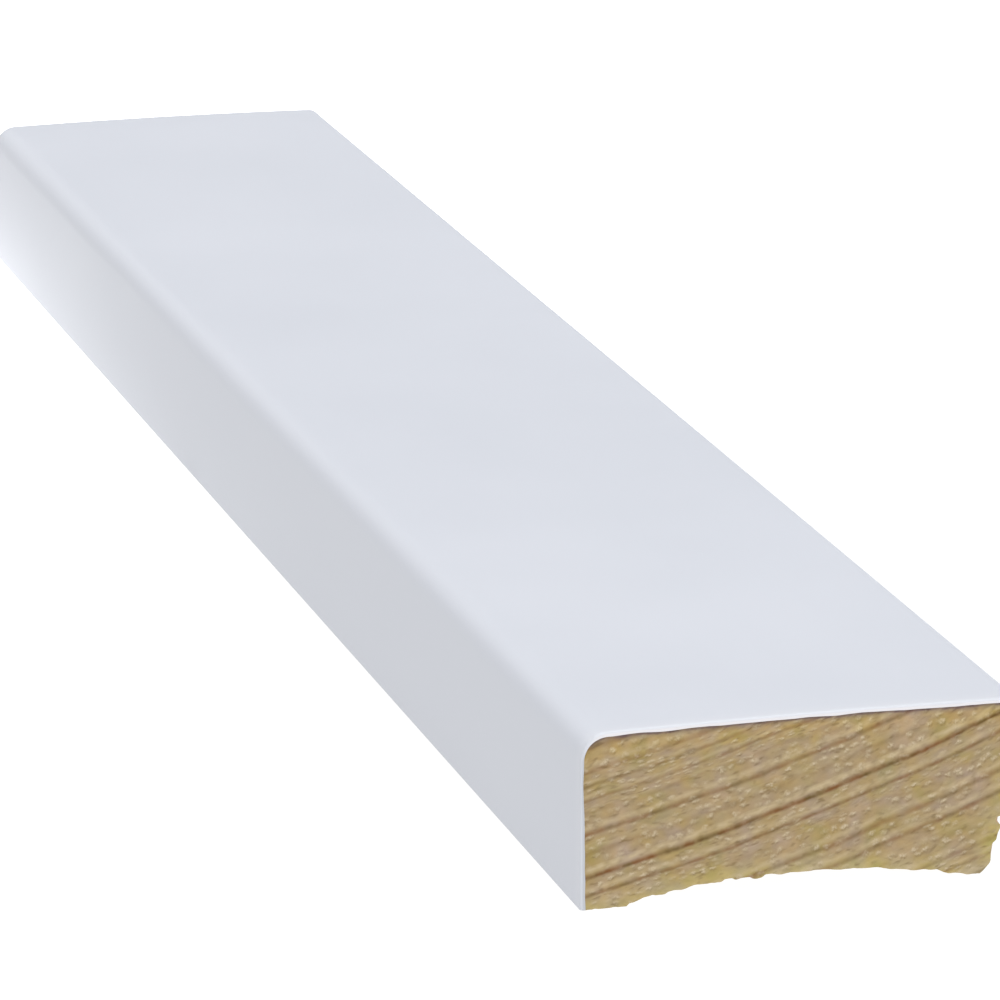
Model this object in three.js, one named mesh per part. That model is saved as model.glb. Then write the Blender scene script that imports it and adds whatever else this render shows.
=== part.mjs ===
import * as THREE from "three";

// A short length of painted softwood skirting board, lying on its back.
// Millimetres. X runs along the board, from the sawn end that is seen close up to the far one.
// Y runs across it, from the floor edge up to the rounded top edge. Z points out of the wall.
// The origin is the middle of the back, in the plane of the wall.

// Overall size
const LENGTH = 250;
const WIDTH = 40;
const THICKNESS = 16;

// Front: slightly crowned, with a soft top edge and a tighter floor edge
const FACE_CROWN = 0.2;
const TOP_EDGE_RADIUS = 2.5;
const FLOOR_EDGE_RADIUS = 1.2;

// Floor edge: leans back under the front, with its back corner taken off
const FLOOR_EDGE_LEAN = THREE.MathUtils.degToRad(10.5);
const BACK_CORNER_RISE = 1.4;
const BACK_CORNER_RUN = 1.35;

// Back: a shallow hollow between two narrow lands that meet the wall
const UPPER_LAND = 2.8;
const LOWER_LAND = 1;
const HOLLOW_DEPTH = 1.7;

// Steps along each quarter-like arc; every arc gets twice as many
const ARC_STEPS = 10;

// Radius of the arc that rises by height over half a chord
function arcRadius(halfChord, height) {
  return (halfChord ** 2 + height ** 2) / (2 * height);
}

// Circle of an edge of the front: it touches the crowned face from inside, at a given place across
function edgeCircle(face, across, radius) {
  const reach = face.radius - radius;
  const rise = Math.sqrt(reach ** 2 - (across - face.across) ** 2);
  return { across, up: face.up + rise, radius };
}

// Direction in which two circles touch, seen from the first one's centre
function touchAngle(from, to) {
  return Math.atan2(to.up - from.up, to.across - from.across);
}

// Cross-section, with Y to the right and Z up, drawn anticlockwise from the back of the top edge
function boardSection() {
  const half = WIDTH / 2;
  const faceRadius = arcRadius(half - FLOOR_EDGE_RADIUS, FACE_CROWN);
  const face = { across: 0, up: THICKNESS - faceRadius, radius: faceRadius };
  const top = edgeCircle(face, half - TOP_EDGE_RADIUS, TOP_EDGE_RADIUS);
  const floor = edgeCircle(face, FLOOR_EDGE_RADIUS - half, FLOOR_EDGE_RADIUS);
  const topTouch = touchAngle(face, top);
  const floorTouch = touchAngle(face, floor);

  const leanTop = new THREE.Vector2(-Math.cos(FLOOR_EDGE_LEAN), -Math.sin(FLOOR_EDGE_LEAN))
    .multiplyScalar(FLOOR_EDGE_RADIUS)
    .add(new THREE.Vector2(floor.across, floor.up));
  const leanRun = (leanTop.y - BACK_CORNER_RISE) * Math.tan(FLOOR_EDGE_LEAN);
  const leanFoot = leanTop.x + leanRun;
  const lowerLandEdge = leanFoot + BACK_CORNER_RUN;

  const hollowFrom = lowerLandEdge + LOWER_LAND;
  const hollowTo = half - UPPER_LAND;
  const hollowHalf = (hollowTo - hollowFrom) / 2;
  const hollowRadius = arcRadius(hollowHalf, HOLLOW_DEPTH);
  const hollowReach = Math.asin(hollowHalf / hollowRadius);

  const section = new THREE.Shape();
  section.moveTo(half, 0);
  section.lineTo(half, top.up);
  section.absarc(top.across, top.up, top.radius, 0, topTouch, false);
  section.absarc(face.across, face.up, face.radius, topTouch, floorTouch, false);
  section.absarc(floor.across, floor.up, floor.radius, floorTouch, Math.PI + FLOOR_EDGE_LEAN, false);
  section.lineTo(leanFoot, BACK_CORNER_RISE);
  section.lineTo(lowerLandEdge, 0);
  section.lineTo(hollowFrom, 0);
  section.absarc(
    (hollowFrom + hollowTo) / 2,
    HOLLOW_DEPTH - hollowRadius,
    hollowRadius,
    Math.PI / 2 + hollowReach,
    Math.PI / 2 - hollowReach,
    true,
  );
  section.closePath();
  return section;
}

function paintedWood() {
  return new THREE.MeshStandardMaterial({ color: 0xdde1e8, roughness: 0.45, metalness: 0 });
}

// The section runs the whole length and is cut square at both ends
function skirtingBoard() {
  const geometry = new THREE.ExtrudeGeometry(boardSection(), {
    depth: LENGTH,
    curveSegments: ARC_STEPS,
    bevelEnabled: false,
  });
  const board = new THREE.Mesh(geometry, paintedWood());
  const across = new THREE.Vector3(0, 1, 0);
  const outOfWall = new THREE.Vector3(0, 0, 1);
  const along = new THREE.Vector3(1, 0, 0);
  const turn = new THREE.Matrix4().makeBasis(across, outOfWall, along);
  board.quaternion.setFromRotationMatrix(turn);
  board.position.x = -LENGTH / 2;
  board.name = "skirting_board";
  return board;
}

const part = new THREE.Group();
part.add(skirtingBoard());

export default part;
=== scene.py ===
"""A short length of white-painted pine skirting board, lying on its back on a pale floor.

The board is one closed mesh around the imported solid's own section: painted front and top edge,
bare pine on the back and the foot of the floor edge, and two sawn ends whose growth rings run
through the whole piece. Shapes are worked out in millimetres: X runs along the board, Y across it
towards the rounded top edge, and Z out of the wall.
"""
import math

import bpy
import numpy as np
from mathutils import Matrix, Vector


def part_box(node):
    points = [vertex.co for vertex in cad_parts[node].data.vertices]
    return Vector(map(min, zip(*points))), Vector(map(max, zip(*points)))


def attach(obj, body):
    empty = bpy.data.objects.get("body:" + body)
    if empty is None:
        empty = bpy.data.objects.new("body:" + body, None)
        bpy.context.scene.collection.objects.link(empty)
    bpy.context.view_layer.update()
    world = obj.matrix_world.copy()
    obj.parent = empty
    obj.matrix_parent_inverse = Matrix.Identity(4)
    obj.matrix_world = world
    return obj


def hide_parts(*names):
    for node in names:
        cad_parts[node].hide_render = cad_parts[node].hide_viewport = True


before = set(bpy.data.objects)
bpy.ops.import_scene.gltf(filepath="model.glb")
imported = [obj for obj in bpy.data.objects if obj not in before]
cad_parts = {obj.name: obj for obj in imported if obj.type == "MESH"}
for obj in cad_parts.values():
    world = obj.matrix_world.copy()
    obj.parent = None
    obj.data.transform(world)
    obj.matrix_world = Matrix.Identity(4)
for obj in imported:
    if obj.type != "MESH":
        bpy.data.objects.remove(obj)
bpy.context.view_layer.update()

# Overall size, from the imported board
MM = 0.001
board_low, board_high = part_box("skirting_board")
LENGTH, WIDTH, THICKNESS = (board_high - board_low) / MM
HALF_LENGTH = LENGTH / 2
HALF_WIDTH = WIDTH / 2

# Section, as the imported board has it
FACE_CROWN = 0.2
TOP_EDGE_RADIUS = 2.5
FLOOR_EDGE_RADIUS = 1.2
FLOOR_EDGE_LEAN = math.radians(10.5)
BACK_CORNER_RISE = 1.4
BACK_CORNER_RUN = 1.35
UPPER_LAND = 2.8
LOWER_LAND = 1.0
HOLLOW_DEPTH = 1.7

# Paint: how thick it is, how uneven and over what length, and where it thins out on the floor edge
FILM = 0.40
FILM_UNEVEN = 0.05
FILM_UNEVEN_LENGTH = 2.5
COAT_WHOLE_ABOVE = 11.0
COAT_ENDS_BELOW = 7.5

# Thinner film on the top edge: how far round from its back corner, its reach, and how much thinner
FILM_THIN_PLACE = 11.0
FILM_THIN_REACH = 4.0
FILM_THIN_BY = 0.17

# Mesh: cells across and up the board's body, and how many times finer its ends are
BODY_ACROSS = 120
BODY_UP = 48
FINER = 2

# Loops along the board: the body's spacing, how far from an end it stops, and the loops in between
BODY_STEP = 4.0
BODY_STOP = 3.4
BAND_STEPS = (0.58, 0.75, 0.95, 1.3, 1.8, 2.5)

# Lip at a sawn end: how deep the mean wood lies, and five rings round it, from the wood outwards
WOOD_SET_BACK = 0.07

# Its rings where there is film: how far in they lie, in films, and how far from the end
PAINTED_LIP = ((1.0, 0.0), (0.58, 0.0), (0.27, 0.04), (0.08, 0.14), (0.0, 0.34))

# Its rings where the wood is bare: how much farther from the end they lie than the wood beside them
BARE_LIP = (0.03, 0.07, 0.12, 0.19, 0.28)

# How far out the rings lie on the map, and how far the film's lip reaches along the upper land
LIP_ON_MAP = (0.08, 0.18, 0.32, 0.46, 0.60)
LIP_ON_LAND = 0.6

# Painted light and shade of the film's cut edge, where it faces up and where it faces sideways
CUT_FACING_UP = 1.0
CUT_FACING_SIDEWAYS = -0.9

# Growth rings: the tree's middle, each year's dark line and its strength, and the usual spacing
PITH = np.array([76.4, 249.0])
RING_RADII = (236.4, 238.9, 241.4, 243.5, 244.7, 245.95, 247.0, 248.9, 250.6, 252.72,
              254.3, 255.6, 257.5, 259.35, 261.3, 263.05, 264.2, 265.5, 267.4, 269.0)
RING_STRENGTHS = (0.3, 0.55, 0.5, 0.55, 0.48, 0.5, 0.25, 0.72, 0.3, 1.0,
                  0.72, 0.12, 0.62, 0.61, 0.25, 0.45, 0.5, 0.4, 0.4, 0.5)
RING_SPACING = 1.75

# Rings through the board: how far they wander and wobble, and how much wider they get for each mm
RING_WANDER, WANDER_LENGTH, WANDER_WIDTH = 1.1, 70.0, 60.0
RING_WOBBLE, WOBBLE_LENGTH, WOBBLE_WIDTH = 0.10, 25.0, 3.5
RING_TAPER = 0.006

# Relief of a sawn end: the late wood stands up, by this much and over this part of a year
RIDGE_HEIGHT, RIDGE_YEARS = 0.045, 0.09

# The rest is uneven: how deep each kind goes, and its size through the rings and round them
STREAK_DEPTH, STREAK_THROUGH, STREAK_ROUND = 0.008, 0.33, 2.2
FIBRE_DEPTH, FIBRE_THROUGH, FIBRE_ROUND = 0.018, 0.30, 0.55
PIT_DEPTH, PIT_THROUGH, PIT_ROUND = 0.11, 0.42, 0.9
ROUGH_DEPTH, ROUGH_SIZE = 0.014, 0.9
SWELL_DEPTH, SWELL_SIZE = 0.02, 5.0

# Noise at which a pit begins, and how much more of it gives the pit its whole depth
PIT_START, PIT_SLOPE = 0.42, 0.35

# Ragged edge of bare wood at a sawn end: depths, lengths and a slope, and how far along it fades
FINE_RAG, FINE_RAG_LENGTH = 0.07, 1.1
COARSE_RAG, COARSE_RAG_LENGTH, COARSE_RAG_SLOPE = 0.14, 2.6, 2.0
RAG_FADE = 0.7

# Tears at a sawn end's bare edge: across, up, radius, and depth or, below zero, a burr
NEAR_TEARS = ((-18.15, 4.75, 0.36, 0.55), (-17.6, 1.95, 0.88, 0.36), (16.9, 0.1, 1.2, -0.45),
              (15.0, 0.35, 0.6, -0.12), (12.8, 0.8, 0.6, -0.2), (6.7, 1.45, 0.5, 0.2),
              (4.1, 1.65, 0.6, -0.2))
FAR_TEARS = ((-8.0, 1.2, 0.8, 0.25), (11.0, 0.9, 1.1, 0.2))

# Seeds of the noise: the rings' wander and wobble, and each end's own
WANDER_SEED, WOBBLE_SEED = 11, 12
NEAR_SEED, FAR_SEED = 100, 200

# Materials of the board's mesh, and where each surface lies on its map: left, bottom, width, height
PAINTED, BARE, SAWN = range(3)
TOP_SIDE, FRONT_SIDE, FLOOR_SIDE, BACK_SIDE = range(4)
SIDE_MAPS = ((0.005, 0.88, 0.99, 0.11), (0.005, 0.63, 0.99, 0.24),
             (0.005, 0.52, 0.99, 0.10), (0.005, 0.27, 0.99, 0.24))
NEAR_MAP = (0.005, 0.005, 0.61, 0.255)
FAR_MAP = (0.63, 0.005, 0.365, 0.155)

# Distances from a sawn face's edges, as given to the points outside it
FAR_FROM_EDGES = (9.0, 9.0, 9.0)

# Where more than this share of its normal points one way, the outline counts as facing that way
FACING_SHARE = 0.7

# Edges that turn by more than this stay sharp
SHARP_ANGLE = math.radians(50.0)

# Paint colours: two tones, a paler one by the near end that is a painted highlight, and the film's
# cut edge, with painted light where it faces up and painted shade where it faces sideways
PAINT_TONES = ((0.657, 0.681, 0.743), (0.676, 0.698, 0.759))
PAINT_HIGHLIGHT_BESIDE_END = (0.77, 0.78, 0.81)
CUT_FILM_PAINTED_LIGHT = (0.82, 0.80, 0.82)
CUT_FILM_PAINTED_SHADE = (0.52, 0.54, 0.58)

# Planed pine colours: early wood and the ring lines, and its roughness where the paint ends
PLANED_TONES = ((0.56, 0.38, 0.195), (0.63, 0.45, 0.25))
PLANED_LINE = (0.38, 0.18, 0.068)
PLANED_ROUGHNESS = (0.68, 0.68, 0.68)

# End grain colours: early wood, the ring lines, the pale band before a line, and the small marks:
# pale flecks that are painted highlights, a dark colour for dashes and painted shadow, and the
# dark seam under the front's film, which is partly painted shade
SAWN_TONES = ((0.357, 0.281, 0.126), (0.402, 0.299, 0.154),
              (0.384, 0.282, 0.164), (0.427, 0.314, 0.202))
SAWN_LINES = ((0.138, 0.084, 0.024), (0.200, 0.083, 0.026))
SAWN_PALE_BAND = (0.57, 0.455, 0.275)
SAWN_FLECK_HIGHLIGHT = (0.59, 0.484, 0.325)
SAWN_SHADOW = (0.21, 0.145, 0.065)
SAWN_SEAM_AND_SHADE = (0.12, 0.078, 0.095)
SAWN_ROUGHNESS = 0.85

# Tints of the end grain: its patches, beside the edges, and where resin shows
SAWN_HUES = ((1.03, 1.0, 0.85), (0.98, 1.0, 1.13))
BARE_EDGE_TINT = (1.17, 1.28, 1.08)
TOP_EDGE_TINT = (0.98, 0.96, 0.84)
UNDER_FRONT_TINT = (1.08, 1.05, 1.0)
RESIN_TINT = (1.04, 0.99, 0.70)

# How far into the sawn wood the tints beside its edges can reach
TINT_REACH = 2.0

# Floor: half its size, how far it lies below the board, its own grey, and how brightly it shines
FLOOR_REACH = 6000.0
FLOOR_GAP = 0.05
FLOOR_GREY = (0.08, 0.08, 0.08, 1.0)
FLOOR_SHINE = 0.97

# Brighter strip of floor beside the top edge, which grows from one place along the board to another
STRIP_ALONG = (-100.0, 120.0)
STRIP_WIDTHS = (10.0, 22.0)
STRIP_GROWTH = 3.0
STRIP_SHINE = 0.75

# Light from all around
WORLD_COLOUR = (0.98, 0.99, 1.0, 1.0)
WORLD_STRENGTH = 0.365

# Lights: name, place and size in metres, and energy in watts
LIGHTS = (
    ("overhead", (0.3, 0.0, 1.5), 1.5, 13.7),
    ("near_fill", (-2.0, -0.1, 2.2), 2.0, 44.0),
    ("beyond", (2.2, 0.5, 0.55), 1.1, 2.6),
)

# Camera: where it stands, seen from the point that it looks at, and its lens
CAMERA_AZIMUTH = math.radians(-105.67)
CAMERA_ELEVATION = math.radians(15.57)
CAMERA_TARGET = (-24.7, -1.0, 8.0)
CAMERA_DISTANCE = 661.7
CAMERA_CLIP = 10.0
LENS_LENGTH = 237.9
SENSOR_WIDTH = 36.0


# Repeatable smooth noise

def lattice(corner, seed):
    """A number from -1 to 1 for each whole-numbered corner, mixed from its place and the seed."""
    # The large odd factors scatter the keys of corners that lie side by side
    key = corner.astype(np.int64) @ np.array([374761393, 668265263, 2147483647])
    key = (key + seed * 1274126177) & 0xFFFFFFFF
    key = ((key ^ (key >> 13)) * 1103515245) & 0xFFFFFFFF
    key = ((key ^ (key >> 16)) * 69069) & 0xFFFFFFFF
    return (key >> 8) / 0x7FFFFF - 1.0


def noise(seed, *axes):
    """Smooth noise from -1 to 1 over up to three axes, with about one bump a unit."""
    places = np.zeros((len(axes[0]), 3))
    places[:, : len(axes)] = np.column_stack(axes)
    base = np.floor(places)
    part = places - base
    weight = part * part * (3.0 - 2.0 * part)
    total = np.zeros(len(places))
    for index in range(8):
        corner = np.array([index & 1, index >> 1 & 1, index >> 2 & 1])
        share = np.prod(np.where(corner, weight, 1.0 - weight), axis=1)
        total += share * lattice(base + corner, seed)
    return total


def layered_noise(seed, layers, *axes):
    """Noise with finer layers on it, each half as wide and half as high as the one before."""
    total = np.zeros(len(axes[0]))
    for layer in range(layers):
        total += noise(seed + layer, *(axis * 2.0**layer for axis in axes)) / 2.0**layer
    return total


def smooth_step(value):
    value = np.clip(value, 0.0, 1.0)
    return value * value * (3.0 - 2.0 * value)


# Section of the board

def arc_radius(half_chord, height):
    """Radius of the arc that rises by height over half a chord."""
    return (half_chord**2 + height**2) / (2 * height)


def edge_centre(face_centre, face_radius, across, radius):
    """Centre of a rounded edge that touches the crowned face from inside."""
    reach = face_radius - radius
    return np.array([across, face_centre[1] + math.sqrt(reach**2 - across**2)])


def direction(start, stop):
    return math.atan2(stop[1] - start[1], stop[0] - start[0])


def arc(centre, radius, start, stop, steps=64):
    angles = np.linspace(start, stop, steps + 1)
    return centre + radius * np.column_stack([np.cos(angles), np.sin(angles)])


def section_sides():
    """Top edge, front, floor edge and back, each a line of points in anticlockwise order.

    They meet half-way round the two rounded edges, at the lower land's outer corner, and at the
    square back corner of the top edge.
    """
    face_radius = arc_radius(HALF_WIDTH - FLOOR_EDGE_RADIUS, FACE_CROWN)
    face = np.array([0.0, THICKNESS - face_radius])
    top = edge_centre(face, face_radius, HALF_WIDTH - TOP_EDGE_RADIUS, TOP_EDGE_RADIUS)
    floor = edge_centre(face, face_radius, FLOOR_EDGE_RADIUS - HALF_WIDTH, FLOOR_EDGE_RADIUS)
    top_touch = direction(face, top)
    floor_touch = direction(face, floor)
    lean_start = math.pi + FLOOR_EDGE_LEAN
    top_middle = top_touch / 2
    floor_middle = (floor_touch + lean_start) / 2

    lean_top = arc(floor, FLOOR_EDGE_RADIUS, lean_start, lean_start, 1)[0]
    lean_run = (lean_top[1] - BACK_CORNER_RISE) * math.tan(FLOOR_EDGE_LEAN)
    lean_foot = np.array([lean_top[0] + lean_run, BACK_CORNER_RISE])
    lower_land = np.array([lean_foot[0] + BACK_CORNER_RUN, 0.0])
    back_corner = np.array([HALF_WIDTH, 0.0])

    hollow_from = lower_land[0] + LOWER_LAND
    hollow_to = HALF_WIDTH - UPPER_LAND
    hollow_half = (hollow_to - hollow_from) / 2
    hollow_radius = arc_radius(hollow_half, HOLLOW_DEPTH)
    hollow_centre = np.array([(hollow_from + hollow_to) / 2, HOLLOW_DEPTH - hollow_radius])
    hollow_reach = math.asin(hollow_half / hollow_radius)
    upright = math.pi / 2

    top_edge = [[back_corner], arc(top, TOP_EDGE_RADIUS, 0.0, top_middle)]
    front = [
        arc(top, TOP_EDGE_RADIUS, top_middle, top_touch)[:-1],
        arc(face, face_radius, top_touch, floor_touch),
        arc(floor, FLOOR_EDGE_RADIUS, floor_touch, floor_middle)[1:],
    ]
    floor_edge = [
        arc(floor, FLOOR_EDGE_RADIUS, floor_middle, lean_start),
        [lean_foot],
        [lower_land],
    ]
    back = [
        [lower_land],
        arc(hollow_centre, hollow_radius, upright + hollow_reach, upright - hollow_reach),
        [back_corner],
    ]
    return [np.vstack(side) for side in (top_edge, front, floor_edge, back)]


def evenly(points, steps):
    """The same line with its points an even distance apart."""
    gaps = np.linalg.norm(np.diff(points, axis=0), axis=1)
    along = np.concatenate([[0.0], np.cumsum(gaps)])
    stops = np.linspace(0.0, along[-1], steps + 1)
    return np.column_stack([np.interp(stops, along, points[:, axis]) for axis in (0, 1)])


class Outline:
    """The section as a closed loop of points, with its outward normals and its coat of paint."""

    def __init__(self, finer):
        self.across = BODY_ACROSS * finer
        self.up = BODY_UP * finer
        counts = (self.up, self.across, self.up, self.across)
        sides = [evenly(side, count) for side, count in zip(section_sides(), counts)]
        self.starts = np.concatenate([[0], np.cumsum(counts)])
        self.sides = np.repeat(np.arange(len(counts)), counts)
        self.slots = np.where(self.sides == BACK_SIDE, BARE, PAINTED)
        self.points = np.vstack([side[:-1] for side in sides])
        self.count = len(self.points)
        after = np.roll(self.points, -1, axis=0)
        tangent = after - np.roll(self.points, 1, axis=0)
        tangent /= np.linalg.norm(tangent, axis=1)[:, None]
        self.normals = np.column_stack([tangent[:, 1], -tangent[:, 0]])
        gaps = np.linalg.norm(after - self.points, axis=1)
        self.distance = np.concatenate([[0.0], np.cumsum(gaps)])
        self.coat = self.paint_coat()
        self.inward = -self.normals * self.coat[:, None]
        self.edge = self.coat.copy()
        self.end_film_at_back_corner()

    def paint_coat(self):
        """1 where the paint is whole and 0 on bare wood; it thins out down the floor edge."""
        height = self.points[:, 1]
        coat = smooth_step((height - COAT_ENDS_BELOW) / (COAT_WHOLE_ABOVE - COAT_ENDS_BELOW))
        coat[(self.sides == TOP_SIDE) | (self.sides == FRONT_SIDE)] = 1.0
        coat[self.sides == BACK_SIDE] = 0.0
        return coat

    def end_film_at_back_corner(self):
        """The film stops flush with the back, so the wood of the upper land moves in beside it."""
        land = (self.sides == BACK_SIDE) & (self.points[:, 0] > HALF_WIDTH - UPPER_LAND)
        to_corner = HALF_WIDTH - self.points[land, 0]
        self.inward[land, 0] = to_corner / UPPER_LAND - 1.0
        self.edge[land] = np.clip(1.0 - to_corner / LIP_ON_LAND, 0.0, 1.0)
        self.inward[0] = (-1.0, 0.0)

    def moved(self, inward=0.0, torn=0.0):
        """The loop moved inwards and torn back, but never past the plane of the back."""
        loop = self.points + inward - self.normals * np.reshape(torn, (-1, 1))
        loop[:, 1] = np.maximum(loop[:, 1], 0.0)
        return loop

    def cut_film_light_and_shade(self):
        """Painted light and shade of the film's cut edge at each point."""
        facing_up = np.maximum(self.normals[:, 1], 0.0)
        return CUT_FACING_SIDEWAYS + (CUT_FACING_UP - CUT_FACING_SIDEWAYS) * facing_up


# Wood

def grain_at(places):
    """Ring number, distance round the ring and distance along the board, for points in mm."""
    along, across, up = places.T
    along = along + HALF_LENGTH
    away = places[:, 1:] - PITH
    radius = np.hypot(*away.T)
    start = np.zeros(len(along))
    wander = noise(WANDER_SEED, along / WANDER_LENGTH, across / WANDER_WIDTH, up / WANDER_WIDTH)
    wander -= noise(WANDER_SEED, start, across / WANDER_WIDTH, up / WANDER_WIDTH)
    wobble = noise(WOBBLE_SEED, along / WOBBLE_LENGTH, across / WOBBLE_WIDTH, up / WOBBLE_WIDTH)
    radius += RING_WANDER * wander + RING_WOBBLE * wobble - RING_TAPER * along
    years = np.interp(radius, RING_RADII, np.arange(len(RING_RADII)))
    round_ring = (np.arctan2(away[:, 1], away[:, 0]) + math.pi / 2) * np.mean(RING_RADII)
    return np.column_stack([years, round_ring, along])


def end_relief(section, grain, seed):
    """How far the sawn wood lies below its mean level, in mm."""
    years, round_ring, _ = grain.T
    through = years * RING_SPACING
    line = np.round(years)
    strength = np.interp(line, np.arange(len(RING_STRENGTHS)), RING_STRENGTHS)
    ridges = strength * np.exp(-(((years - line) / RIDGE_YEARS) ** 2))
    streaks = noise(seed + 1, through / STREAK_THROUGH, round_ring / STREAK_ROUND)
    fibres = noise(seed + 3, through / FIBRE_THROUGH, round_ring / FIBRE_ROUND)
    pits = noise(seed + 4, through / PIT_THROUGH, round_ring / PIT_ROUND)
    pits = smooth_step((pits - PIT_START) / PIT_SLOPE)
    rough = layered_noise(seed + 5, 2, *(section.T / ROUGH_SIZE))
    swell = layered_noise(seed + 7, 2, *(section.T / SWELL_SIZE))
    depth = STREAK_DEPTH * streaks + FIBRE_DEPTH * fibres
    depth += ROUGH_DEPTH * rough + SWELL_DEPTH * swell
    return depth + PIT_DEPTH * pits - RIDGE_HEIGHT * ridges


def ragged(outline, tears, seed):
    """How far the bare edge of a sawn end is torn back from the outline, in mm."""
    along = outline.distance[:-1]
    torn = FINE_RAG * layered_noise(seed, 3, along / FINE_RAG_LENGTH)
    coarse = noise(seed + 5, along / COARSE_RAG_LENGTH)
    torn += COARSE_RAG * smooth_step(coarse * COARSE_RAG_SLOPE)
    for across, up, radius, depth in tears:
        gap = np.linalg.norm(outline.points - [across, up], axis=1)
        torn += depth * np.exp(-((gap / radius) ** 6))
    return torn * (1.0 - outline.edge)


def film_thickness(outline, seed):
    """How thick the film is round a sawn end, in mm."""
    along = outline.distance[:-1]
    film = FILM + FILM_UNEVEN * layered_noise(seed + 20, 2, along / FILM_UNEVEN_LENGTH)
    return film - FILM_THIN_BY * np.exp(-(((along - FILM_THIN_PLACE) / FILM_THIN_REACH) ** 2))


# Mesh of the board

class BoardMesh:
    """Gathers the board's points and faces, and makes the object."""

    def __init__(self):
        self.points = []
        self.facts = []
        self.count = 0
        self.faces = []
        self.maps = []
        self.slots = []

    def add_points(self, places, coat, edges=FAR_FROM_EDGES, cut=0.0):
        """Adds points in mm, with their coat, distances from an end's edges, and cut film."""
        numbers = np.arange(self.count, self.count + len(places))
        self.points.append(places)
        facts = [np.broadcast_to(fact, len(places)) for fact in (coat, *edges, cut)]
        self.facts.append(np.column_stack(facts))
        self.count += len(places)
        return numbers

    def add_faces(self, corners, maps, slots, turned=False):
        """Adds faces with their places on the map, turned over where they would face inwards."""
        if turned:
            corners, maps = corners[::-1], maps[::-1]
        self.faces.append(np.stack(corners, axis=-1))
        self.maps.append(np.stack(maps, axis=-2))
        self.slots.append(np.broadcast_to(slots, len(corners[0])))

    def make(self, name):
        places = np.vstack(self.points)
        faces = [face for group in self.faces for face in group.tolist()]
        mesh = bpy.data.meshes.new(name)
        mesh.from_pydata(places * MM, [], faces)
        mesh.polygons.foreach_set("material_index", np.concatenate(self.slots))
        layout = mesh.uv_layers.new(name="OFBake")
        spots = np.concatenate([group.reshape(-1, 2) for group in self.maps])
        layout.uv.foreach_set("vector", spots.ravel())
        grain = mesh.attributes.new("grain", "FLOAT_VECTOR", "POINT")
        grain.data.foreach_set("vector", grain_at(places).ravel())
        # "cut" holds the painted light and shade of the film's cut edge: lighter above zero, darker
        # below
        labels = ("coat", "from_front", "from_top_edge", "from_bare", "cut")
        for label, values in zip(labels, np.vstack(self.facts).T):
            attribute = mesh.attributes.new(label, "FLOAT", "POINT")
            attribute.data.foreach_set("value", values.copy())
        mesh.shade_smooth()
        mesh.set_sharp_from_angle(angle=SHARP_ANGLE)
        board = bpy.data.objects.new(name, mesh)
        bpy.context.collection.objects.link(board)
        return board


def loop_corners(near, far):
    """The four corners of each face between two loops, in order round the face."""
    return [near, np.roll(near, -1, axis=0), np.roll(far, -1, axis=0), far]


def grid_corners(grid):
    """The four corners of each face of a grid, in order round the face."""
    return [grid[:-1, :-1], grid[1:, :-1], grid[1:, 1:], grid[:-1, 1:]]


def side_map(outline, x, index, side):
    """Places on the map for points of a long loop, numbered from the start of the outline."""
    left, bottom, width, height = np.array(SIDE_MAPS)[side].T
    start = outline.distance[outline.starts[side]]
    stop = outline.distance[outline.starts[side + 1]]
    share = (outline.distance[index] - start) / (stop - start)
    return np.column_stack([left + width * (x + HALF_LENGTH) / LENGTH, bottom + height * share])


def end_map(section, area):
    """Places on the map for points of a sawn end and its lip."""
    left, bottom, width, height = area
    margin = LIP_ON_MAP[-1]
    across = (HALF_WIDTH + margin - section[:, 0]) / (WIDTH + 2 * margin)
    up = (section[:, 1] + margin) / (THICKNESS + 2 * margin)
    return np.column_stack([left + width * across, bottom + height * up])


def long_loop(mesh, outline, x, torn=0.0):
    """Adds the outline's loop at a place along the board."""
    places = np.column_stack([np.full(outline.count, x), outline.moved(torn=torn)])
    return mesh.add_points(places, outline.coat)


def join_alike(mesh, outline, near, near_x, far, far_x):
    """Quads between two loops of one outline."""
    index = np.arange(outline.count)
    sides = outline.sides
    maps = [
        side_map(outline, near_x, index, sides),
        side_map(outline, near_x, index + 1, sides),
        side_map(outline, far_x, index + 1, sides),
        side_map(outline, far_x, index, sides),
    ]
    mesh.add_faces(loop_corners(near, far), maps, outline.slots)


def join_finer(mesh, fine_outline, fine, fine_x, outline, body, body_x, fine_is_near):
    """Faces between a loop of the body and one with twice as many points."""
    index = np.arange(outline.count)
    sides = outline.sides
    first, middle = fine[::FINER], fine[1::FINER]
    last = np.roll(first, -1)
    after = np.roll(body, -1)
    first_map, middle_map, last_map = (
        side_map(fine_outline, fine_x, FINER * index + step, sides) for step in range(FINER + 1)
    )
    body_map = side_map(outline, body_x, index, sides)
    after_map = side_map(outline, body_x, index + 1, sides)
    faces = (
        ((first, middle, body), (first_map, middle_map, body_map)),
        ((middle, after, body), (middle_map, after_map, body_map)),
        ((middle, last, after), (middle_map, last_map, after_map)),
    )
    for corners, maps in faces:
        mesh.add_faces(corners, maps, outline.slots, not fine_is_near)


# Sawn ends

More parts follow.
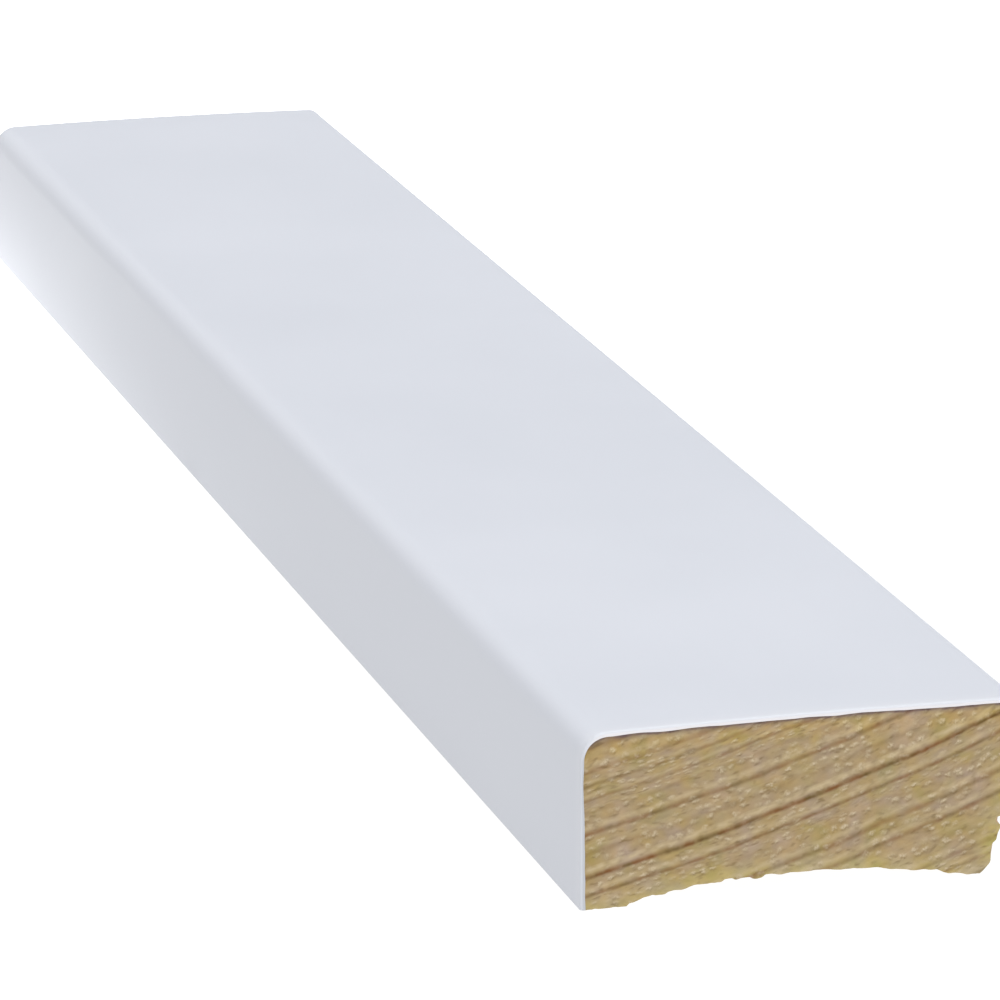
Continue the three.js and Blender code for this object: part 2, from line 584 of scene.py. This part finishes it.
def filled_grid(border, across, up):
    """Places inside a loop of four sides, and the loop's own point for each edge place."""
    count = len(border)
    rightward = np.linspace(0.0, 1.0, across + 1)[:, None, None]
    upward = np.linspace(0.0, 1.0, up + 1)[None, :, None]
    leftward = 1.0 - rightward
    downward = 1.0 - upward
    top_side = np.arange(up + 1)
    front_side = np.arange(up, up + across + 1)
    floor_side = np.arange(2 * up + across, up + across - 1, -1)
    back_side = np.arange(count, 2 * up + across - 1, -1) % count
    left, right = border[top_side][None], border[floor_side][None]
    low, high = border[back_side][:, None], border[front_side][:, None]
    corners = leftward * downward * left[:, :1] + leftward * upward * left[:, -1:]
    corners = corners + rightward * downward * right[:, :1] + rightward * upward * right[:, -1:]
    places = leftward * left + rightward * right + downward * low + upward * high - corners
    owner = np.full((across + 1, up + 1), -1)
    owner[0, :], owner[-1, :] = top_side, floor_side
    owner[:, 0], owner[:, -1] = back_side, front_side
    return places, owner


def nearest(points, places):
    """Distance from each place to the nearest of the points."""
    return np.array([np.hypot(*(points - place).T).min() for place in places])


def edge_distances(outline, section, places):
    """Distance in mm to the film of the front, to the film of the top edge, and to bare edges."""
    painted = outline.edge > 0.5
    front = painted & (outline.normals[:, 1] > FACING_SHARE)
    top_edge = painted & (outline.normals[:, 0] > FACING_SHARE)
    return [nearest(section[kind], places) for kind in (front, top_edge, ~painted)]


class SawnEnd:
    """Adds a sawn end of the board; its sign is -1 at the near end and 1 at the far one."""

    def __init__(self, mesh, outline, sign, tears, seed, area):
        self.mesh = mesh
        self.outline = outline
        self.sign = sign
        self.seed = seed
        self.area = area
        self.torn = ragged(outline, tears, seed)
        self.film = outline.inward * film_thickness(outline, seed)[:, None]
        self.section = outline.moved(self.film, self.torn)
        self.border = self.add_lip(*self.add_wood())

    def wood_points(self, places, coat):
        """Adds points of the sawn wood; returns their numbers and how deep they lie."""
        flat = np.column_stack([np.full(len(places), self.sign * HALF_LENGTH), places])
        relief = end_relief(places, grain_at(flat), self.seed)
        depth = np.maximum(WOOD_SET_BACK + relief, 0.0)
        flat[:, 0] -= self.sign * depth
        edges = edge_distances(self.outline, self.section, places)
        return self.mesh.add_points(flat, coat, edges), depth

    def add_wood(self):
        """Adds the sawn face; returns the loop round it, and how deep that lies."""
        border, depth = self.wood_points(self.section, self.outline.coat)
        places, owner = filled_grid(self.section, self.outline.across, self.outline.up)
        inside = owner < 0
        numbers = np.empty(owner.shape, int)
        numbers[~inside] = border[owner[~inside]]
        numbers[inside], _ = self.wood_points(places[inside], 0.0)
        spots = end_map(places.reshape(-1, 2), self.area).reshape(places.shape)
        corners = [corner.ravel() for corner in grid_corners(numbers)]
        maps = [corner.reshape(-1, 2) for corner in grid_corners(spots)]
        self.mesh.add_faces(corners, maps, SAWN, self.sign > 0)
        return border, depth

    def add_lip(self, loop, depth):
        """Adds the rings of cut film and bare edge round the wood; returns the last one."""
        outline = self.outline
        spots = end_map(self.section, self.area)
        slots = SAWN
        for (films, film_x), bare_x, on_map in zip(PAINTED_LIP, BARE_LIP, LIP_ON_MAP):
            ring = outline.moved(self.film * films, self.torn * math.exp(-bare_x / RAG_FADE))
            back = outline.edge * film_x + (1.0 - outline.edge) * (depth + bare_x)
            places = np.column_stack([self.sign * (HALF_LENGTH - back), ring])
            # The cut film's painted light and shade, from which way it faces
            cut = outline.cut_film_light_and_shade() if film_x == 0.0 else 0.0
            numbers = self.mesh.add_points(places, outline.coat, cut=cut)
            outer = end_map(self.section + outline.normals * on_map, self.area)
            corners = loop_corners(loop, numbers)
            self.mesh.add_faces(corners, loop_corners(spots, outer), slots, self.sign > 0)
            loop, spots, slots = numbers, outer, outline.slots
        return loop

    def add_band(self):
        """Adds the long surfaces beside the end; returns their last loop and its place along.

        The torn edges of bare wood fade out on them.
        """
        loop, x = self.border, self.sign * HALF_LENGTH
        for step in BAND_STEPS:
            next_x = self.sign * (HALF_LENGTH - step)
            torn = self.torn * math.exp(-step / RAG_FADE)
            next_loop = long_loop(self.mesh, self.outline, next_x, torn)
            if self.sign < 0:
                join_alike(self.mesh, self.outline, loop, x, next_loop, next_x)
            else:
                join_alike(self.mesh, self.outline, next_loop, next_x, loop, x)
            loop, x = next_loop, next_x
        return loop, x


def make_board():
    mesh = BoardMesh()
    body, fine = Outline(1), Outline(FINER)
    near_end = SawnEnd(mesh, fine, -1, NEAR_TEARS, NEAR_SEED, NEAR_MAP)
    far_end = SawnEnd(mesh, fine, 1, FAR_TEARS, FAR_SEED, FAR_MAP)
    near, near_x = near_end.add_band()
    far, far_x = far_end.add_band()
    reach = HALF_LENGTH - BODY_STOP
    stations = np.linspace(-reach, reach, round(2 * reach / BODY_STEP) + 1)
    loops = [long_loop(mesh, body, x) for x in stations]
    join_finer(mesh, fine, near, near_x, body, loops[0], stations[0], True)
    for index in range(len(stations) - 1):
        join_alike(mesh, body, loops[index], stations[index], loops[index + 1], stations[index + 1])
    join_finer(mesh, fine, far, far_x, body, loops[-1], stations[-1], False)
    return mesh.make("board")


# Materials

class Graph:
    """Short calls for one material's nodes. A socket is linked, and anything else is set."""

    def __init__(self, name):
        self.material = bpy.data.materials.new(name)
        self.material.use_nodes = True
        self.nodes = self.material.node_tree.nodes
        self.links = self.material.node_tree.links
        self.shader = self.nodes["Principled BSDF"].inputs

    def feed(self, socket, value):
        if isinstance(value, bpy.types.NodeSocket):
            self.links.new(value, socket)
        else:
            socket.default_value = value

    def node(self, kind, inputs, output=0, **settings):
        made = self.nodes.new("ShaderNode" + kind)
        for name, value in settings.items():
            setattr(made, name, value)
        for name, value in inputs.items():
            self.feed(made.inputs[name], value)
        return made.outputs[output]

    def attribute(self, name, output="Fac"):
        return self.node("Attribute", {}, output, attribute_name=name)

    def place(self):
        """Place on the object, in metres."""
        return self.node("TexCoord", {}, "Object")

    def part(self, vector, axis):
        return self.node("SeparateXYZ", {"Vector": vector}, axis)

    def math(self, operation, first, second=0.0):
        return self.node("Math", {0: first, 1: second}, operation=operation)

    def product(self, first, second):
        return self.math("MULTIPLY", first, second)

    def vector_math(self, operation, first, second, third=(0.0, 0.0, 0.0)):
        return self.node("VectorMath", {0: first, 1: second, 2: third}, operation=operation)

    def map_range(self, value, before, after, interpolation="LINEAR"):
        """Carries a value over from one pair of bounds to another."""
        inputs = {0: value, 1: before[0], 2: before[1], 3: after[0], 4: after[1]}
        return self.node("MapRange", inputs, interpolation_type=interpolation)

    def noise(self, vector, scale, detail, roughness, output="Fac"):
        inputs = {"Vector": vector, "Scale": scale, "Detail": detail, "Roughness": roughness}
        return self.node("TexNoise", inputs, output)

    def streaks(self, vector, scales, detail, roughness):
        """Noise with a scale of its own along each axis."""
        stretched = self.vector_math("MULTIPLY", vector, scales)
        return self.noise(stretched, 1.0, detail, roughness)

    def ramp(self, factor, stops, interpolation="LINEAR"):
        """Colours or greys by factor; stops are (position, grey or colour)."""
        stops = list(stops)
        made = self.nodes.new("ShaderNodeValToRGB")
        self.feed(made.inputs["Fac"], factor)
        elements = made.color_ramp.elements
        made.color_ramp.interpolation = interpolation
        while len(elements) < len(stops):
            elements.new(0.5)
        for element, (position, value) in zip(elements, stops):
            colour = value if isinstance(value, tuple) else (value, value, value)
            element.position = position
            element.color = (*colour, 1.0)
        return made.outputs["Color"]

    def mix(self, factor, first, second, blend="MIX"):
        """Mixes two colours. The node's sockets share their names, so they go by number."""
        made = self.nodes.new("ShaderNodeMix")
        made.data_type = "RGBA"
        made.blend_type = blend
        made.clamp_result = False
        for index, value in ((0, factor), (6, first), (7, second)):
            if isinstance(value, tuple):
                value = (*value, 1.0)
            self.feed(made.inputs[index], value)
        return made.outputs[2]

    def tinted(self, colour, tint, factor=1.0):
        return self.mix(factor, colour, tint, "MULTIPLY")

    def finish(self, colour, roughness, height, relief, strength):
        """Sets the surface's colour, roughness and bump, whose relief is in mm."""
        bump = {"Height": height, "Distance": relief * MM, "Strength": strength}
        self.feed(self.shader["Base Color"], colour)
        self.feed(self.shader["Roughness"], roughness)
        self.feed(self.shader["Normal"], self.node("Bump", bump))
        return self.material


def ring_lines(graph, grain, years):
    """How dark the late wood is and how strong its year, from 0 to 1.

    The lines are darker and lighter in turn along the ring, and the weaker ones come and go.
    """
    part = graph.math("FRACT", years)
    line = graph.ramp(part, ((0.0, 1.0), (0.21, 0.0), (0.80, 0.0), (1.0, 1.0)), "EASE")
    nearest_ring = graph.math("DIVIDE", graph.math("ADD", years, 0.5), len(RING_RADII))
    stops = [(index / len(RING_RADII), value) for index, value in enumerate(RING_STRENGTHS)]
    strength = graph.ramp(nearest_ring, stops, "CONSTANT")
    fading = graph.streaks(grain, (0.9, 0.16, 0.004), detail=3.0, roughness=0.6)
    lost = graph.ramp(fading, ((0.42, 0.0), (0.62, 0.4)))
    weak = graph.product(graph.math("SUBTRACT", 1.0, strength), lost)
    beads = graph.streaks(grain, (0.9, 0.75, 0.01), detail=2.0, roughness=0.6)
    beaded = graph.ramp(beads, ((0.36, 0.62), (0.60, 1.0)))
    left = graph.product(graph.math("SUBTRACT", strength, weak), beaded)
    return graph.product(line, left), strength


def planed_fibres(graph, grain):
    return graph.streaks(grain, (14.0, 7.0, 0.12), detail=4.0, roughness=0.65)


def pine_colour(graph, grain):
    """Planed pine: long fibres with the rings as warm stripes."""
    late, _ = ring_lines(graph, grain, graph.part(grain, "X"))
    broad = graph.streaks(grain, (0.35, 0.06, 0.012), detail=3.0, roughness=0.5)
    early = graph.ramp(broad, zip((0.3, 0.7), PLANED_TONES))
    shade = graph.ramp(planed_fibres(graph, grain), ((0.25, 0.84), (0.75, 1.08)))
    return graph.mix(graph.product(late, 0.8), graph.tinted(early, shade), PLANED_LINE)


def painted_surface():
    """Cool white satin paint that thins out to bare pine on the floor edge."""
    graph = Graph("white_paint")
    grain = graph.attribute("grain", "Vector")
    place = graph.place()

    cloudy = graph.noise(place, 28.0, detail=3.0, roughness=0.55)
    tone = graph.ramp(cloudy, zip((0.3, 0.7), PAINT_TONES))
    # Painted highlight: the paint is paler within a few mm of the near end
    highlight_beside_end = graph.map_range(graph.part(grain, "Z"), (0.0, 2.4), (0.25, 0.0), "SMOOTHSTEP")
    tone = graph.mix(highlight_beside_end, tone, PAINT_HIGHLIGHT_BESIDE_END)
    # Painted light and shade on the film's cut edge: lighter where it faces up, darker facing
    # sideways
    cut = graph.attribute("cut")
    tone = graph.mix(cut, tone, CUT_FILM_PAINTED_LIGHT)
    tone = graph.mix(graph.product(cut, -1.0), tone, CUT_FILM_PAINTED_SHADE)

    ragged_edge = graph.streaks(grain, (3.0, 1.2, 0.35), detail=4.0, roughness=0.65)
    edge = graph.math("ADD", graph.attribute("coat"), graph.math("SUBTRACT", ragged_edge, 0.5))
    cover = graph.ramp(edge, ((0.44, 0.0), (0.56, 1.0)))
    colour = graph.mix(cover, pine_colour(graph, grain), tone)
    shine = graph.ramp(cloudy, ((0.3, 0.40), (0.7, 0.47)))
    roughness = graph.mix(cover, PLANED_ROUGHNESS, shine)

    brushed = graph.streaks(place, (40.0, 900.0, 900.0), detail=2.0, roughness=0.6)
    peel = graph.noise(place, 900.0, detail=2.0, roughness=0.5)
    height = graph.mix(0.35, brushed, peel)
    return graph.finish(colour, roughness, height, relief=0.04, strength=0.35)


def bare_surface():
    """The unpainted back, planed, with the marks of turning knives across it."""
    graph = Graph("planed_pine")
    grain = graph.attribute("grain", "Vector")
    fibres = planed_fibres(graph, grain)
    roughness = graph.ramp(fibres, ((0.3, 0.58), (0.7, 0.72)))
    waves = {"Vector": graph.place(), "Scale": 200.0, "Distortion": 0.6}
    knives = graph.node("TexWave", waves, "Fac", bands_direction="X")
    height = graph.mix(0.2, fibres, knives)
    return graph.finish(pine_colour(graph, grain), roughness, height, relief=0.06, strength=0.5)


def early_end_grain(graph, grain, streak):
    """Early wood on a sawn end: broad tones and patches, and streaks along the rings."""
    broad = graph.streaks(grain, (0.62, 0.30, 0.0), detail=2.0, roughness=0.5)
    wood = graph.ramp(broad, zip((0.32, 0.44, 0.55, 0.68), SAWN_TONES))
    patches = graph.streaks(grain, (0.85, 0.45, 0.0), detail=1.5, roughness=0.5)
    wood = graph.tinted(wood, graph.ramp(patches, zip((0.36, 0.64), SAWN_HUES)))
    shade = graph.ramp(streak, ((0.28, 0.88), (0.45, 0.985), (0.57, 1.015), (0.74, 1.09)))
    return graph.tinted(wood, shade)


def tinted_edges(graph, wood, under_front):
    """Tints the wood beside the bare edges, beside the top edge, and in a band under the front."""
    from_bare = graph.product(graph.attribute("from_bare"), 1.0 / TINT_REACH)
    fringe = graph.ramp(from_bare, ((0.0, 1.0), (0.3, 0.7), (0.5, 0.4), (0.9, 0.0)))
    wood = graph.tinted(wood, BARE_EDGE_TINT, fringe)
    beside = graph.ramp(graph.attribute("from_top_edge"), ((0.0, 1.0), (0.5, 0.8), (1.0, 0.0)))
    wood = graph.tinted(wood, TOP_EDGE_TINT, beside)
    return graph.tinted(wood, UNDER_FRONT_TINT, under_front)


def flecks(graph, grain):
    """Soft short spots along the rings, a little broken up, each with a strength of its own."""
    place = graph.vector_math("MULTIPLY", grain, (3.1, 1.0, 0.0))
    bend = graph.noise(place, 2.2, detail=2.0, roughness=0.5, output="Color")
    bent = graph.vector_math("MULTIPLY_ADD", bend, (0.8, 0.8, 0.0), place)
    cells = {"Vector": bent, "Scale": 1.0}
    distance = graph.node("TexVoronoi", cells, "Distance", voronoi_dimensions="2D")
    spot = graph.ramp(distance, ((0.04, 1.0), (0.50, 0.0)), "EASE")
    chosen = graph.ramp(distance.node.outputs["Color"], ((0.28, 0.0), (0.70, 1.0)))
    fine = graph.streaks(grain, (9.0, 5.0, 0.0), detail=2.0, roughness=0.6)
    whole = graph.ramp(fine, ((0.36, 0.3), (0.54, 1.0)))
    return graph.product(graph.product(spot, whole), chosen)


def small_marks(graph, grain, wood, fleck, dashes, groups):
    """Dark dashes, and pale flecks of painted highlight in loose groups, with a small painted
    shadow on their inner side.
    """
    dash = graph.ramp(dashes, ((0.26, 0.6), (0.40, 0.0)))
    wood = graph.mix(dash, wood, SAWN_SHADOW)
    crowd = graph.ramp(groups, ((0.36, 0.35), (0.56, 1.0)))
    # A small painted shadow beside each fleck, on its inner side
    inner = graph.vector_math("ADD", grain, (-0.12, 0.0, 0.0))
    shadow = graph.product(graph.product(flecks(graph, inner), crowd), 0.6)
    wood = graph.mix(shadow, wood, SAWN_SHADOW)
    # Pale flecks: painted highlights of torn fibres, in loose groups
    wood = graph.mix(graph.product(fleck, crowd), wood, SAWN_FLECK_HIGHLIGHT)
    pores = graph.streaks(grain, (17.0, 9.0, 0.0), detail=2.0, roughness=0.6)
    return graph.tinted(wood, graph.ramp(pores, ((0.3, 0.97), (0.7, 1.025))))


def end_grain_rings(graph, grain, wood, dashes):
    """Dark, slightly shaken lines, each with a broken pale band before it."""
    shake = graph.streaks(grain, (1.0, 0.9, 0.0), detail=2.0, roughness=0.5)
    shake = graph.product(graph.math("SUBTRACT", shake, 0.5), 0.09)
    shaken = graph.math("ADD", graph.part(grain, "X"), shake)
    late, strength = ring_lines(graph, grain, shaken)
    before = graph.ramp(graph.math("FRACT", shaken), ((0.45, 0.0), (0.70, 1.0), (0.87, 0.0)))
    broken = graph.ramp(dashes, ((0.40, 0.35), (0.60, 0.85)))
    pale = graph.product(before, graph.product(strength, broken))
    wood = graph.mix(pale, wood, SAWN_PALE_BAND)
    browns = graph.streaks(grain, (0.6, 0.42, 0.0), detail=2.0, roughness=0.5)
    return graph.mix(late, wood, graph.ramp(browns, zip((0.42, 0.58), SAWN_LINES)))


def sawn_surface():
    """End grain: soft dark lines with pale bands before them, short streaks and flecks of painted
    highlight.
    """
    graph = Graph("sawn_pine")
    grain = graph.attribute("grain", "Vector")
    from_front = graph.attribute("from_front")
    reach = graph.product(from_front, 1.0 / TINT_REACH)
    under_front = graph.ramp(reach, ((0.08, 0.0), (0.3, 1.0), (0.8, 0.9), (1.0, 0.0)))
    streak = graph.streaks(grain, (3.2, 0.7, 0.0), detail=1.5, roughness=0.5)
    dashes = graph.streaks(grain, (4.2, 0.9, 0.0), detail=1.0, roughness=0.5)
    groups = graph.streaks(grain, (1.3, 0.22, 0.0), detail=1.0, roughness=0.5)
    fleck = flecks(graph, grain)

    wood = early_end_grain(graph, grain, streak)
    wood = tinted_edges(graph, wood, under_front)
    wood = small_marks(graph, grain, wood, fleck, dashes, groups)
    wood = end_grain_rings(graph, grain, wood, dashes)
    resin = graph.product(under_front, graph.ramp(groups, ((0.42, 0.0), (0.60, 0.5))))
    wood = graph.tinted(wood, RESIN_TINT, resin)
    # Dark seam under the front's film: a dark line at the paint's edge, partly painted shade,
    # broken in places
    seam_breaks = graph.ramp(dashes, ((0.35, 1.0), (0.65, 0.55)))
    seam_and_shade = graph.ramp(from_front, ((0.0, 0.95), (0.16, 0.8), (0.28, 0.3), (0.6, 0.0)))
    wood = graph.mix(graph.product(seam_and_shade, seam_breaks), wood, SAWN_SEAM_AND_SHADE)
    graph.shader["Specular IOR Level"].default_value = 0.25
    height = graph.mix(0.5, streak, fleck)
    return graph.finish(wood, SAWN_ROUGHNESS, height, relief=0.06, strength=0.6)


# Stage, light and camera

def floor_surface():
    """Evenly shining white, with a brighter strip beside the far part of the top edge."""
    graph = Graph("floor")
    place = graph.place()
    start = HALF_WIDTH * MM
    farther = graph.map_range(graph.part(place, "X"), [x * MM for x in STRIP_ALONG], (0.0, 1.0))
    beyond = graph.math("POWER", farther, STRIP_GROWTH)
    stop = graph.map_range(beyond, (0.0, 1.0), [start + width * MM for width in STRIP_WIDTHS])
    beside = graph.map_range(graph.part(place, "Y"), (start, stop), (1.0, 0.0))
    glow = graph.product(graph.product(beside, beyond), STRIP_SHINE)
    graph.shader["Base Color"].default_value = FLOOR_GREY
    graph.shader["Roughness"].default_value = 0.9
    graph.shader["Emission Color"].default_value = (1.0, 1.0, 1.0, 1.0)
    graph.feed(graph.shader["Emission Strength"], graph.math("ADD", glow, FLOOR_SHINE))
    return graph.material


def make_floor():
    """A pale tabletop just below the board."""
    reach = FLOOR_REACH * MM
    corners = [(-reach, -reach), (reach, -reach), (reach, reach), (-reach, reach)]
    mesh = bpy.data.meshes.new("floor")
    mesh.from_pydata([(x, y, -FLOOR_GAP * MM) for x, y in corners], [], [(0, 1, 2, 3)])
    mesh.materials.append(floor_surface())
    floor = bpy.data.objects.new("floor", mesh)
    bpy.context.collection.objects.link(floor)


def soft_light(name, place, size, energy):
    """A square light that faces the board."""
    data = bpy.data.lights.new(name, "AREA")
    data.shape = "SQUARE"
    data.size = size
    data.energy = energy
    light = bpy.data.objects.new(name, data)
    light.location = place
    light.rotation_euler = Vector(place).to_track_quat("Z", "Y").to_euler()
    bpy.context.collection.objects.link(light)


def make_lights():
    world = bpy.data.worlds.new("studio")
    bpy.context.scene.world = world
    world.use_nodes = True
    background = world.node_tree.nodes["Background"].inputs
    background["Color"].default_value = WORLD_COLOUR
    background["Strength"].default_value = WORLD_STRENGTH
    for light in LIGHTS:
        soft_light(*light)


def make_camera():
    level = math.cos(CAMERA_ELEVATION)
    back = Vector((
        math.sin(CAMERA_AZIMUTH) * level,
        -math.cos(CAMERA_AZIMUTH) * level,
        math.sin(CAMERA_ELEVATION),
    ))
    data = bpy.data.cameras.new("camera")
    data.lens = LENS_LENGTH
    data.sensor_width = SENSOR_WIDTH
    data.clip_start = CAMERA_CLIP * MM
    camera = bpy.data.objects.new("camera", data)
    camera.location = Vector(CAMERA_TARGET) * MM + CAMERA_DISTANCE * MM * back
    camera.rotation_euler = (-back).to_track_quat("-Z", "Y").to_euler()
    bpy.context.collection.objects.link(camera)
    bpy.context.scene.camera = camera


make_camera()
make_lights()
make_floor()
bpy.context.scene.view_settings.view_transform = "Standard"

board = make_board()
for surface in (painted_surface(), bare_surface(), sawn_surface()):
    board.data.materials.append(surface)
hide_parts("skirting_board")
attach(board, "root")
